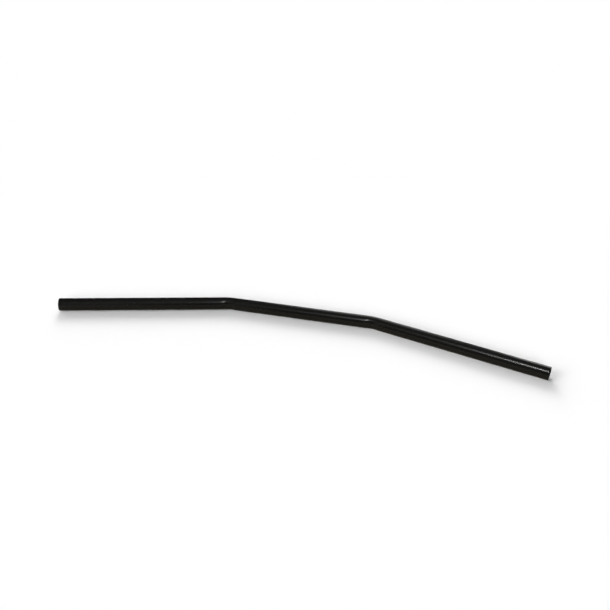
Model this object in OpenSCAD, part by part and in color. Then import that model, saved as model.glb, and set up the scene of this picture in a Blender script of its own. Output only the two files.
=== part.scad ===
// Drag bar: one round steel tube with a straight clamping zone in the middle,
// a single bend each side of it, and two straight legs swept back to the grips.
// It lies flat. The origin is on the tube's axis in the middle of the clamping
// zone, +X runs along the bar, the legs sweep towards -Y, and +Z is up.

/* [Tube] */
// Outer diameter of the tube, which the clamps and controls are made for
tube_d = 22.2; // [20:0.1:32]
// Wall thickness of the tube
wall_t = 2; // [1.5:0.1:4]

/* [Bar] */
// Overall width, measured over the tips as sawn, before their edges are broken
bar_w = 850; // [600:5:1000]
// Length of the straight clamping zone between the two bends
clamp_w = 244; // [120:2:320]

/* [Bends] */
// Angle by which each leg is swept back from the clamping zone
sweep_a = 16; // [4:1:40]
// Radius of each bend, measured to the tube's axis
bend_r = 66; // [45:1:150]
// How much the wall is drawn in round a bend, on its outside and in its bore
drawn_t = 0.02; // [0.01:0.01:0.1]

/* [Tips] */
// Edge break round the outside of each sawn tip
rim_outer_c = 0.5; // [0.2:0.1:0.7]
// Edge break round the mouth of the bore at each tip
rim_inner_c = 0.4; // [0.2:0.1:0.7]

/* [Hidden] */
$fn = 96;

coating = [0.03, 0.03, 0.03];
tube_r = tube_d / 2;
bore_r = tube_r - wall_t;

// Angle by which each bend runs on into the straights, so that they are one piece
lap_a = 0.05;

// Reach of the bar's axis along X at the end of a bend, where a leg starts
leg_x = clamp_w / 2 + bend_r * sin(sweep_a);

// Straight length of each leg, from the end of its bend to the face of the tip
leg_l = (bar_w / 2 - leg_x - tube_r * sin(sweep_a)) / cos(sweep_a);

// Section of the tube, drawn in by a given amount on both surfaces
module tube_section(drawn_in = 0) {
    difference() {
        circle(r = tube_r - drawn_in);
        circle(r = bore_r + drawn_in);
    }
}

// Straight middle, where the risers or the yoke clamp the bar
module clamping_zone() {
    rotate([90, 0, 90])
        linear_extrude(height = clamp_w, center = true)
            tube_section();
}

// One bend, seen from its centre: it leaves the clamping zone square and turns back
module bend() {
    rotate_extrude(start = 90 + lap_a, angle = -(sweep_a + 2 * lap_a))
        translate([bend_r, 0])
            tube_section(drawn_t);
}

// One leg, seen from the bend's centre, with the tip's edges broken inside and out
module leg() {
    profile = [
        [bore_r, 0],
        [tube_r, 0],
        [tube_r, leg_l - rim_outer_c],
        [tube_r - rim_outer_c, leg_l],
        [bore_r + rim_inner_c, leg_l],
        [bore_r, leg_l - rim_inner_c]
    ];
    rotate([0, 0, -sweep_a])
        translate([0, bend_r, 0])
            rotate([90, 0, 90])
                rotate_extrude()
                    polygon(profile);
}

// The bar is the same on both sides of its middle
module bent_tube() {
    color(coating) {
        clamping_zone();
        for (side = [0, 1])
            mirror([side, 0, 0])
                translate([clamp_w / 2, -bend_r, 0]) {
                    bend();
                    leg();
                }
    }
}

bent_tube();
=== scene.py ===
"""A drag bar in gloss black, lying on a white ground.

Names that end in _MM are in millimetres, in _M in metres and in _DEG in
degrees. Everything that is built is in metres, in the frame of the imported
part: the origin on the tube's axis in the middle of the clamping zone, +X
along the bar, the legs swept back towards -Y, and +Z up.
"""

import math

import bmesh
import bpy
from mathutils import Matrix, Vector


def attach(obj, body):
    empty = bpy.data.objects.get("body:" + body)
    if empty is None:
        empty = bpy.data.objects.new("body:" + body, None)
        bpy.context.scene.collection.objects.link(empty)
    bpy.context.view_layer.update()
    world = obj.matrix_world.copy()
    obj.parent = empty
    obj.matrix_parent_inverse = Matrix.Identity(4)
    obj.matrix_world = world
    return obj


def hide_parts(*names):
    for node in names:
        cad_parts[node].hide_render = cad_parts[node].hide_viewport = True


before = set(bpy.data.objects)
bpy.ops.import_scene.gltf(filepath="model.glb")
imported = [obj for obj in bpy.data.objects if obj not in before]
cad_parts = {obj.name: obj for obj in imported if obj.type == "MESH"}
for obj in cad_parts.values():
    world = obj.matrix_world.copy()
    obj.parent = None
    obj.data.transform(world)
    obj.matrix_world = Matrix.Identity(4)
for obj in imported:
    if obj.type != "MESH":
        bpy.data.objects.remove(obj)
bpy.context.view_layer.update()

MM = 0.001

# The tube, with the same values as the part's source
TUBE_R_MM = 11.1
BORE_R_MM = 9.1
BAR_W_MM = 850.0
CLAMP_W_MM = 244.0
SWEEP_DEG = 16.0
BEND_R_MM = 66.0
RIM_OUTER_MM = 0.5
RIM_INNER_MM = 0.4

# How much a bend's inside and outside are flattened, over what length that comes in, and
# how far before the bend it starts
FLAT_INSIDE_MM = 1.2
FLAT_OUTSIDE_MM = 0.2
FLAT_RAMP_MM = 9.8
FLAT_LEAD_MM = 6.3

# How finely the tube's mesh is made
AROUND = 144
RIM_STEPS = 5
STRAIGHT_STEP_MM = 6.0
BEND_STEP_MM = 0.75
BEND_FINE_MM = 12.0
TIP_STEPS_MM = (1.2, 3.0)

# The coat: its colours, roughness and index, then how deep its waves and its peel are
COAT_DARK = (0.0032, 0.0030, 0.0026)
COAT_PALE = (0.0040, 0.0038, 0.0033)
COAT_ROUGHNESS = (0.25, 0.28)
COAT_IOR = 1.5
COAT_WAVE_M = 0.000004
COAT_PEEL_M = 0.0000012

# The steel in the bore: its colours and roughness, and how deep its drawn lines are
STEEL_DARK = (0.13, 0.118, 0.105)
STEEL_PALE = (0.30, 0.285, 0.27)
STEEL_ROUGHNESS = (0.62, 0.46)
STEEL_METALLIC = 0.35
STEEL_LINE_M = 0.00002

# Where the coat ends in the bore: how deep its ragged edge can reach, and the length it fades over
COAT_RAGGED_M = 0.018
COAT_FADE_M = 0.012

# Patterns as (cycles per metre, detail, roughness, share of those cycles along the tube)
COAT_CLOUDS = (60.0, 3.0, 0.5, 0.4)
COAT_HAZE = (130.0, 4.0, 0.5, 0.5)
COAT_WAVES = (55.0, 1.0, 0.5, 0.5)
COAT_PEEL = (480.0, 2.0, 0.5, 1.0)
COAT_EDGE = (220.0, 4.0, 0.5, 1.0)
STEEL_PATCHES = (170.0, 5.0, 0.62, 0.35)
STEEL_LINES = (900.0, 3.0, 0.5, 0.03)

# The stretch of a pattern over which roughness changes, and that over which steel turns pale
ROUGHNESS_SPAN = (0.3, 0.7)
STEEL_SPAN = (0.35, 0.7)

# Plain white, and the ground: its size, its colour to the eye, its colour in the gloss, which is
# painted darker than the ground so that the coat shows a painted dim reflection of it, and how far
# from the middle of the bar it turns to plain white
WHITE = (1.0, 1.0, 1.0, 1.0)
GROUND_HALF_M = 6.0
GROUND_ALBEDO = 0.9
# Painted dim reflection: the ground's colour for glossy rays only, far darker than its albedo
GROUND_PAINTED_DIM_IN_GLOSS = (0.29, 0.27, 0.215)
PLAIN_FROM_M = 0.6
PLAIN_TO_M = 0.95

# The world's plain light, and what the gloss shows of it
AMBIENT = 0.06
GLOSS_AMBIENT = 0.02

# Even lights as (name, elevation, azimuth, spread, share of the ground's light). The angles are in
# degrees, and an azimuth counts to the right from straight behind the bar.
SUN_FAR_M = 3.0
EVEN_LIGHTS = (
    ("behind_low", 20.5, -22.0, 25.0, 0.13),
    ("behind_left", 25.0, -60.0, 28.0, 0.08),
    ("behind_high", 31.5, -14.0, 34.0, 0.24),
    ("front_left", 28.0, -131.0, 33.0, 0.30),
    ("front_low", 20.8, 169.5, 15.0, 0.14),
    ("left", 31.0, -90.0, 40.0, 0.06),
)

# Soft boxes and pale cards as (name, place in mm, point faced in mm, size in mm, radiance)
SOFT_BOXES = (
    ("box_above", (180.0, -560.0, 815.0), (0.0, 0.0, 0.0), (110.0, 80.0), 68.0),
    ("box_behind", (-5.0, 1100.0, 700.0), (-5.0, 0.0, 700.0), (620.0, 1250.0), 1.05),
    ("box_right", (700.0, 1100.0, 550.0), (700.0, 0.0, 550.0), (360.0, 900.0), 2.4),
    ("strip_front", (-230.0, -560.0, 770.0), (-230.0, 0.0, 0.0), (580.0, 70.0), 0.9),
    ("card_left", (-760.0, -520.0, 230.0), (-760.0, 0.0, 230.0), (1040.0, 460.0), 0.16),
    ("card_front", (0.0, -620.0, 900.0), (0.0, 0.0, 900.0), (1800.0, 480.0), 0.19),
    ("card_top", (0.0, 150.0, 1300.0), (0.0, 150.0, 0.0), (1700.0, 1300.0), 0.085),
)

# The camera, worked out from the tube's two edges in the photograph
CAMERA_AZIMUTH_DEG = 12.465
CAMERA_ELEVATION_DEG = 30.013
CAMERA_ROLL_DEG = 1.3545
CAMERA_DISTANCE_MM = 1220.033
CAMERA_AIM = (0.0076345, 0.0113679)
FOCAL_PX = 684.455
IMAGE_PX = 610
SENSOR_MM = 36.0

# Sockets of the mix node when it mixes colours
MIX_FIRST = 6
MIX_SECOND = 7
MIX_RESULT = 2


# Shape of the tube


def axis_point(arc):
    """Position and direction of the tube's axis, an arc length to the right of the middle."""
    sweep = math.radians(SWEEP_DEG)
    half_clamp = CLAMP_W_MM / 2
    if arc <= half_clamp:
        return Vector((arc, 0, 0)), Vector((1, 0, 0))
    turn = min((arc - half_clamp) / BEND_R_MM, sweep)
    direction = Vector((math.cos(turn), -math.sin(turn), 0))
    bend_x = half_clamp + BEND_R_MM * math.sin(turn)
    bend_y = -BEND_R_MM * (1 - math.cos(turn))
    past_bend = max(0.0, arc - half_clamp - BEND_R_MM * sweep)
    return Vector((bend_x, bend_y, 0)) + direction * past_bend, direction


def bend_ends():
    """Arc lengths from the middle of the bar to the start and the end of a bend."""
    start = CLAMP_W_MM / 2
    return start, start + BEND_R_MM * math.radians(SWEEP_DEG)


def tip_arc():
    """Arc length from the middle of the bar to the face of a tip."""
    sweep = math.radians(SWEEP_DEG)
    leg_x = CLAMP_W_MM / 2 + BEND_R_MM * math.sin(sweep)
    leg_l = (BAR_W_MM / 2 - leg_x - TUBE_R_MM * math.sin(sweep)) / math.cos(sweep)
    return bend_ends()[1] + leg_l


def even_steps(first, last, step):
    """Arc lengths from first up to, but not with, last."""
    count = max(1, round((last - first) / step))
    return [first + (last - first) * i / count for i in range(count)]


def half_arcs():
    """Arc lengths of the rings on the right half, close together round the bend and at the tip."""
    bend_from, bend_to = bend_ends()
    end = tip_arc()
    fine_to = end - sum(TIP_STEPS_MM)
    arcs = even_steps(0.0, bend_from - BEND_FINE_MM, STRAIGHT_STEP_MM)
    arcs += even_steps(bend_from - BEND_FINE_MM, bend_to + BEND_FINE_MM, BEND_STEP_MM)
    arcs += even_steps(bend_to + BEND_FINE_MM, fine_to, STRAIGHT_STEP_MM)
    return arcs + [fine_to, end - TIP_STEPS_MM[0]]


def smooth_step(value):
    """0 below 0, 1 above 1, and a smooth rise between."""
    held = min(1.0, max(0.0, value))
    return held * held * (3 - 2 * held)


def flattening(arc):
    """How far the section has come to its flattened form, from 0 on a straight to 1 round a bend."""
    bend_from, bend_to = bend_ends()
    going_in = (abs(arc) - bend_from + FLAT_LEAD_MM) / FLAT_RAMP_MM
    coming_out = (bend_to + FLAT_LEAD_MM - abs(arc)) / FLAT_RAMP_MM
    return smooth_step(going_in) * smooth_step(coming_out)


def rim_profile():
    """The tip's rim as (radius, distance in from the face), from the outside round to the bore."""
    profile = []
    for i in range(RIM_STEPS + 1):
        turn = math.pi / 2 * i / RIM_STEPS
        radius = TUBE_R_MM - RIM_OUTER_MM * (1 - math.cos(turn))
        profile.append((radius, RIM_OUTER_MM * (1 - math.sin(turn))))
    profile.append(((TUBE_R_MM - RIM_OUTER_MM + BORE_R_MM + RIM_INNER_MM) / 2, 0.0))
    for i in range(RIM_STEPS + 1):
        turn = math.pi / 2 * i / RIM_STEPS
        radius = BORE_R_MM + RIM_INNER_MM * (1 - math.sin(turn))
        profile.append((radius, RIM_INNER_MM * (1 - math.cos(turn))))
    return profile


def skin_rings():
    """The rings of the closed skin as (arc length, radius, depth in the bore).

    Arcs to the left are negative. The rings run along the outside from left to
    right, round the right rim, back through the bore and round the left rim.
    """
    right = half_arcs()
    arcs = [-arc for arc in right[:0:-1]] + right
    end = tip_arc()
    rim = rim_profile()
    rings = [(arc, TUBE_R_MM, 0.0) for arc in arcs]
    rings += [(end - inset, radius, 0.0) for radius, inset in rim]
    rings += [(arc, BORE_R_MM, end - abs(arc)) for arc in arcs[::-1]]
    rings += [(inset - end, radius, 0.0) for radius, inset in rim[::-1]]
    return rings


def add_ring(bm, ring, straight_key, depth_key):
    """The vertices of one ring, each with its place on the straightened tube and its depth."""
    arc, radius, depth = ring
    centre, direction = axis_point(abs(arc))
    if arc < 0:
        centre.x = -centre.x
        direction.y = -direction.y
    side = Vector((-direction.y, direction.x, 0))
    share = flattening(arc)
    verts = []
    for i in range(AROUND):
        turn = 2 * math.pi * i / AROUND
        out_y = radius * math.cos(turn)
        out_z = radius * math.sin(turn)
        flat = FLAT_OUTSIDE_MM if out_y > 0 else FLAT_INSIDE_MM
        out_y *= 1 - share * flat / TUBE_R_MM
        vert = bm.verts.new((centre + side * out_y + Vector((0, 0, out_z))) * MM)
        vert[straight_key] = Vector((arc, out_y, out_z)) * MM
        vert[depth_key] = depth * MM
        verts.append(vert)
    return verts


def build_tube():
    """The bent tube as one closed skin: outside, right rim, bore and left rim."""
    mesh = bpy.data.meshes.new("bar_tube")
    bm = bmesh.new()
    straight_key = bm.verts.layers.float_vector.new("straightened")
    depth_key = bm.verts.layers.float.new("bore_depth")
    loops = [add_ring(bm, ring, straight_key, depth_key) for ring in skin_rings()]
    for loop, following in zip(loops, loops[1:] + loops[:1]):
        for j in range(AROUND):
            k = (j + 1) % AROUND
            bm.faces.new((loop[j], loop[k], following[k], following[j]))
    bmesh.ops.recalc_face_normals(bm, faces=bm.faces)
    for face in bm.faces:
        face.smooth = True
    bm.to_mesh(mesh)
    bm.free()
    tube = bpy.data.objects.new("bar_tube", mesh)
    bpy.context.scene.collection.objects.link(tube)
    return tube


# Nodes for the materials


def new_material(name):
    """An empty node material, with its tree and its output."""
    material = bpy.data.materials.new(name)
    material.use_nodes = True
    material.node_tree.nodes.clear()
    output = material.node_tree.nodes.new("ShaderNodeOutputMaterial")
    return material, material.node_tree, output


def add_node(tree, kind, **settings):
    """A node with some of its properties set."""
    node = tree.nodes.new(kind)
    for key, value in settings.items():
        setattr(node, key, value)
    return node


def attribute(tree, name):
    """The node that reads one of the tube's own attributes."""
    return add_node(tree, "ShaderNodeAttribute", attribute_type="GEOMETRY", attribute_name=name)


def noise(tree, straight, pattern):
    """One of the patterns above, between 0 and 1, on the straightened tube."""
    cycles, detail, roughness, along = pattern
    stretched = add_node(tree, "ShaderNodeVectorMath", operation="MULTIPLY")
    tree.links.new(straight, stretched.inputs[0])
    stretched.inputs[1].default_value = (along, 1.0, 1.0)
    node = add_node(tree, "ShaderNodeTexNoise")
    tree.links.new(stretched.outputs[0], node.inputs["Vector"])
    node.inputs["Scale"].default_value = cycles
    node.inputs["Detail"].default_value = detail
    node.inputs["Roughness"].default_value = roughness
    return node.outputs[0]


def remap(tree, value, from_range, to_range=(0.0, 1.0), smooth=False):
    """A value taken from one range to another, and held at its ends."""
    node = add_node(tree, "ShaderNodeMapRange")
    if smooth:
        node.interpolation_type = "SMOOTHSTEP"
    tree.links.new(value, node.inputs["Value"])
    node.inputs["From Min"].default_value = from_range[0]
    node.inputs["From Max"].default_value = from_range[1]
    node.inputs["To Min"].default_value = to_range[0]
    node.inputs["To Max"].default_value = to_range[1]
    return node.outputs["Result"]


def mix_colour(tree, factor, first, second):
    """Two fixed colours, mixed by a factor."""
    node = add_node(tree, "ShaderNodeMix", data_type="RGBA")
    tree.links.new(factor, node.inputs["Factor"])
    node.inputs[MIX_FIRST].default_value = (*first, 1)
    node.inputs[MIX_SECOND].default_value = (*second, 1)
    return node.outputs[MIX_RESULT]


def mix_shader(tree, factor, first, second):
    """Two shaders, mixed by a factor."""
    node = add_node(tree, "ShaderNodeMixShader")
    tree.links.new(factor, node.inputs[0])
    tree.links.new(first, node.inputs[1])
    tree.links.new(second, node.inputs[2])
    return node.outputs[0]


def bump(tree, height, depth, normal=None):
    """A bump of a given depth in metres."""
    node = add_node(tree, "ShaderNodeBump")
    node.inputs["Strength"].default_value = 1.0
    node.inputs["Distance"].default_value = depth
    tree.links.new(height, node.inputs["Height"])
    if normal is not None:
        tree.links.new(normal, node.inputs["Normal"])
    return node.outputs["Normal"]


# Coat and steel


def coat_shader(tree, straight):
    """The gloss black coat: almost level, with a fine orange peel and a long, faint unevenness."""
    shader = add_node(tree, "ShaderNodeBsdfPrincipled")
    colour = mix_colour(tree, noise(tree, straight, COAT_CLOUDS), COAT_DARK, COAT_PALE)
    tree.links.new(colour, shader.inputs["Base Color"])
    haze = remap(tree, noise(tree, straight, COAT_HAZE), ROUGHNESS_SPAN, COAT_ROUGHNESS)
    tree.links.new(haze, shader.inputs["Roughness"])
    shader.inputs["IOR"].default_value = COAT_IOR
    level = bump(tree, noise(tree, straight, COAT_WAVES), COAT_WAVE_M)
    peeled = bump(tree, noise(tree, straight, COAT_PEEL), COAT_PEEL_M, level)
    tree.links.new(peeled, shader.inputs["Normal"])
    return shader.outputs[0]


def bore_shader(tree, straight):
    """Dull steel inside the tube, darkened by scale, with faint lines along the bore from drawing."""
    shader = add_node(tree, "ShaderNodeBsdfPrincipled")
    patches = noise(tree, straight, STEEL_PATCHES)
    colour = mix_colour(tree, remap(tree, patches, STEEL_SPAN), STEEL_DARK, STEEL_PALE)
    tree.links.new(colour, shader.inputs["Base Color"])
    shader.inputs["Metallic"].default_value = STEEL_METALLIC
    dullness = remap(tree, patches, ROUGHNESS_SPAN, STEEL_ROUGHNESS)
    tree.links.new(dullness, shader.inputs["Roughness"])
    lined = bump(tree, noise(tree, straight, STEEL_LINES), STEEL_LINE_M)
    tree.links.new(lined, shader.inputs["Normal"])
    return shader.outputs[0]


def coated_tube_material():
    """The coat outside, over the rims and a little way into the bore, and steel beyond."""
    material, tree, output = new_material("gloss_black_coat")
    straight = attribute(tree, "straightened").outputs["Vector"]
    depth = attribute(tree, "bore_depth").outputs["Fac"]
    edge = add_node(tree, "ShaderNodeMath", operation="MULTIPLY_ADD")
    tree.links.new(noise(tree, straight, COAT_EDGE), edge.inputs[0])
    edge.inputs[1].default_value = -COAT_RAGGED_M
    tree.links.new(depth, edge.inputs[2])
    bare = remap(tree, edge.outputs[0], (0.0, COAT_FADE_M), smooth=True)
    surface = mix_shader(tree, bare, coat_shader(tree, straight), bore_shader(tree, straight))
    tree.links.new(surface, output.inputs["Surface"])
    return material


# Ground and background


def seen_by_camera(tree, light):
    """1 for a ray from the camera, straight or through glass, and 0 for every other."""
    either = add_node(tree, "ShaderNodeMath", operation="MAXIMUM")
    tree.links.new(light.outputs["Is Camera Ray"], either.inputs[0])
    tree.links.new(light.outputs["Is Transmission Ray"], either.inputs[1])
    return either.outputs[0]


def ground_material():
    """A white ground that keeps the bar's shadow, is plain white well away from the bar, and is
    painted darker for glossy rays, a painted dim reflection in the coat.
    """
    material, tree, output = new_material("white_ground")
    light = add_node(tree, "ShaderNodeLightPath")
    lit = add_node(tree, "ShaderNodeBsdfDiffuse")
    # For glossy rays the ground's colour is painted darker: a painted dim reflection, not the
    # ground's own colour
    colour = mix_colour(tree, light.outputs["Is Glossy Ray"], (GROUND_ALBEDO,) * 3, GROUND_PAINTED_DIM_IN_GLOSS)
    tree.links.new(colour, lit.inputs["Color"])
    plain = add_node(tree, "ShaderNodeEmission")
    plain.inputs["Color"].default_value = WHITE
    place = add_node(tree, "ShaderNodeTexCoord")
    away = add_node(tree, "ShaderNodeVectorMath", operation="LENGTH")
    tree.links.new(place.outputs["Object"], away.inputs[0])
    far = remap(tree, away.outputs["Value"], (PLAIN_FROM_M, PLAIN_TO_M), smooth=True)
    faded = mix_shader(tree, far, lit.outputs[0], plain.outputs[0])
    seen = mix_shader(tree, seen_by_camera(tree, light), lit.outputs[0], faded)
    tree.links.new(seen, output.inputs["Surface"])
    return material


def build_ground():
    """The ground, touching the tube's underside."""
    mesh = bpy.data.meshes.new("ground")
    half = GROUND_HALF_M
    corners = [(-half, -half, 0), (half, -half, 0), (half, half, 0), (-half, half, 0)]
    mesh.from_pydata(corners, [], [(0, 1, 2, 3)])
    mesh.materials.append(ground_material())
    ground = bpy.data.objects.new("ground", mesh)
    ground.location.z = -TUBE_R_MM * MM
    bpy.context.scene.collection.objects.link(ground)


def build_world():
    """White where the camera looks past the ground, else a plain low light, least in the gloss."""
    world = bpy.data.worlds.new("studio")
    bpy.context.scene.world = world
    world.use_nodes = True
    tree = world.node_tree
    tree.nodes.clear()
    output = add_node(tree, "ShaderNodeOutputWorld")
    light = add_node(tree, "ShaderNodeLightPath")
    dim = add_node(tree, "ShaderNodeBackground")
    dim.inputs["Color"].default_value = WHITE
    level = remap(tree, light.outputs["Is Glossy Ray"], (0.0, 1.0), (AMBIENT, GLOSS_AMBIENT))
    tree.links.new(level, dim.inputs["Strength"])
    white = add_node(tree, "ShaderNodeBackground")
    white.inputs["Color"].default_value = WHITE
    seen = mix_shader(tree, seen_by_camera(tree, light), dim.outputs[0], white.outputs[0])
    tree.links.new(seen, output.inputs["Surface"])


# Lights


def place_light(name, light, location, towards):
    """A light at a place, shining along a direction."""
    lamp = bpy.data.objects.new(name, light)
    lamp.location = location
    lamp.rotation_mode = "QUATERNION"
    lamp.rotation_quaternion = Vector(towards).to_track_quat("-Z", "Y")
    bpy.context.scene.collection.objects.link(lamp)
    return lamp


def add_even_light(name, elevation, azimuth, spread, share):
    """Soft, even light from one side, which draws the shadow and lights what is matt.

    With shares that come to 1, the ground is as bright as plain white.
    """
    height = math.radians(elevation)
    turn = math.radians(azimuth)
    level = math.cos(height)
    to_light = Vector((math.sin(turn) * level, math.cos(turn) * level, math.sin(height)))
    light = bpy.data.lights.new(name, "SUN")
    light.angle = math.radians(spread)
    light.energy = share / GROUND_ALBEDO * math.pi / to_light.z
    lamp = place_light(name, light, to_light * SUN_FAR_M, -to_light)
    lamp.visible_glossy = False


def add_soft_box(name, place, faced, size, radiance):
    """A soft box or pale card facing a point, which shows only in the gloss."""
    light = bpy.data.lights.new(name, "AREA")
    light.shape = "RECTANGLE"
    light.size = size[0] * MM
    light.size_y = size[1] * MM
    light.energy = radiance * math.pi * light.size * light.size_y
    spot = Vector(place) * MM
    lamp = place_light(name, light, spot, Vector(faced) * MM - spot)
    lamp.visible_diffuse = False
    lamp.visible_camera = False


def build_lights():
    """The even lights, the soft boxes and the cards."""
    for row in EVEN_LIGHTS:
        add_even_light(*row)
    for row in SOFT_BOXES:
        add_soft_box(*row)


# Camera


def build_camera():
    """The photograph's view: a place round the middle of the bar, then a small turn of the aim."""
    azimuth = math.radians(CAMERA_AZIMUTH_DEG)
    elevation = math.radians(CAMERA_ELEVATION_DEG)
    roll = math.radians(CAMERA_ROLL_DEG)
    level = math.cos(elevation)
    back = Vector((math.sin(azimuth) * level, -math.cos(azimuth) * level, math.sin(elevation)))
    right = (-back).cross(Vector((0, 0, 1))).normalized()
    up = right.cross(-back)
    rolled_right = math.cos(roll) * right + math.sin(roll) * up
    rolled_up = math.cos(roll) * up - math.sin(roll) * right
    aim = (-back + CAMERA_AIM[0] * rolled_right + CAMERA_AIM[1] * rolled_up).normalized()
    right = (rolled_right - aim * rolled_right.dot(aim)).normalized()
    up = right.cross(aim)
    data = bpy.data.cameras.new("camera")
    data.sensor_fit = "HORIZONTAL"
    data.sensor_width = SENSOR_MM
    data.lens = FOCAL_PX / IMAGE_PX * SENSOR_MM
    camera = bpy.data.objects.new("camera", data)
    turned = Matrix((right, up, -aim)).transposed().to_4x4()
    camera.matrix_world = Matrix.Translation(back * CAMERA_DISTANCE_MM * MM) @ turned
    bpy.context.scene.collection.objects.link(camera)
    bpy.context.scene.camera = camera


bpy.context.scene.view_settings.view_transform = "Standard"

tube = build_tube()
tube.data.materials.append(coated_tube_material())
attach(tube, "root")
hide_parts("bent_tube")

build_ground()
build_world()
build_lights()
build_camera()
